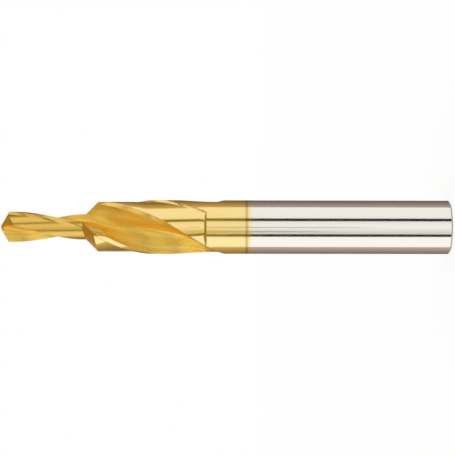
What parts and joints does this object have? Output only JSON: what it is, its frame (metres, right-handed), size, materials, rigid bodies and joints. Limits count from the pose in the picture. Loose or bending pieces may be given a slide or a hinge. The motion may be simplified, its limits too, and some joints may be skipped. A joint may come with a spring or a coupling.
{
  "type": "step drill bit",
  "caption": "Two-flute step drill: fluted pilot with a relieved point, 90 degree step, larger fluted body and plain round shank.",
  "frame": {"origin": "centre of the flat end face of the shank", "axes": "+Z along the drill's axis from the shank to the point; +X is where the run-out of one flute closes"},
  "size_m": [0.0114, 0.0114, 0.095],
  "materials": {
    "tool_steel": "ground, with a thin gold nitride coating from the point to just past the flutes"
  },
  "bodies": {
    "root": {"step_drill": "tool_steel"}
  },
  "joints": []
}
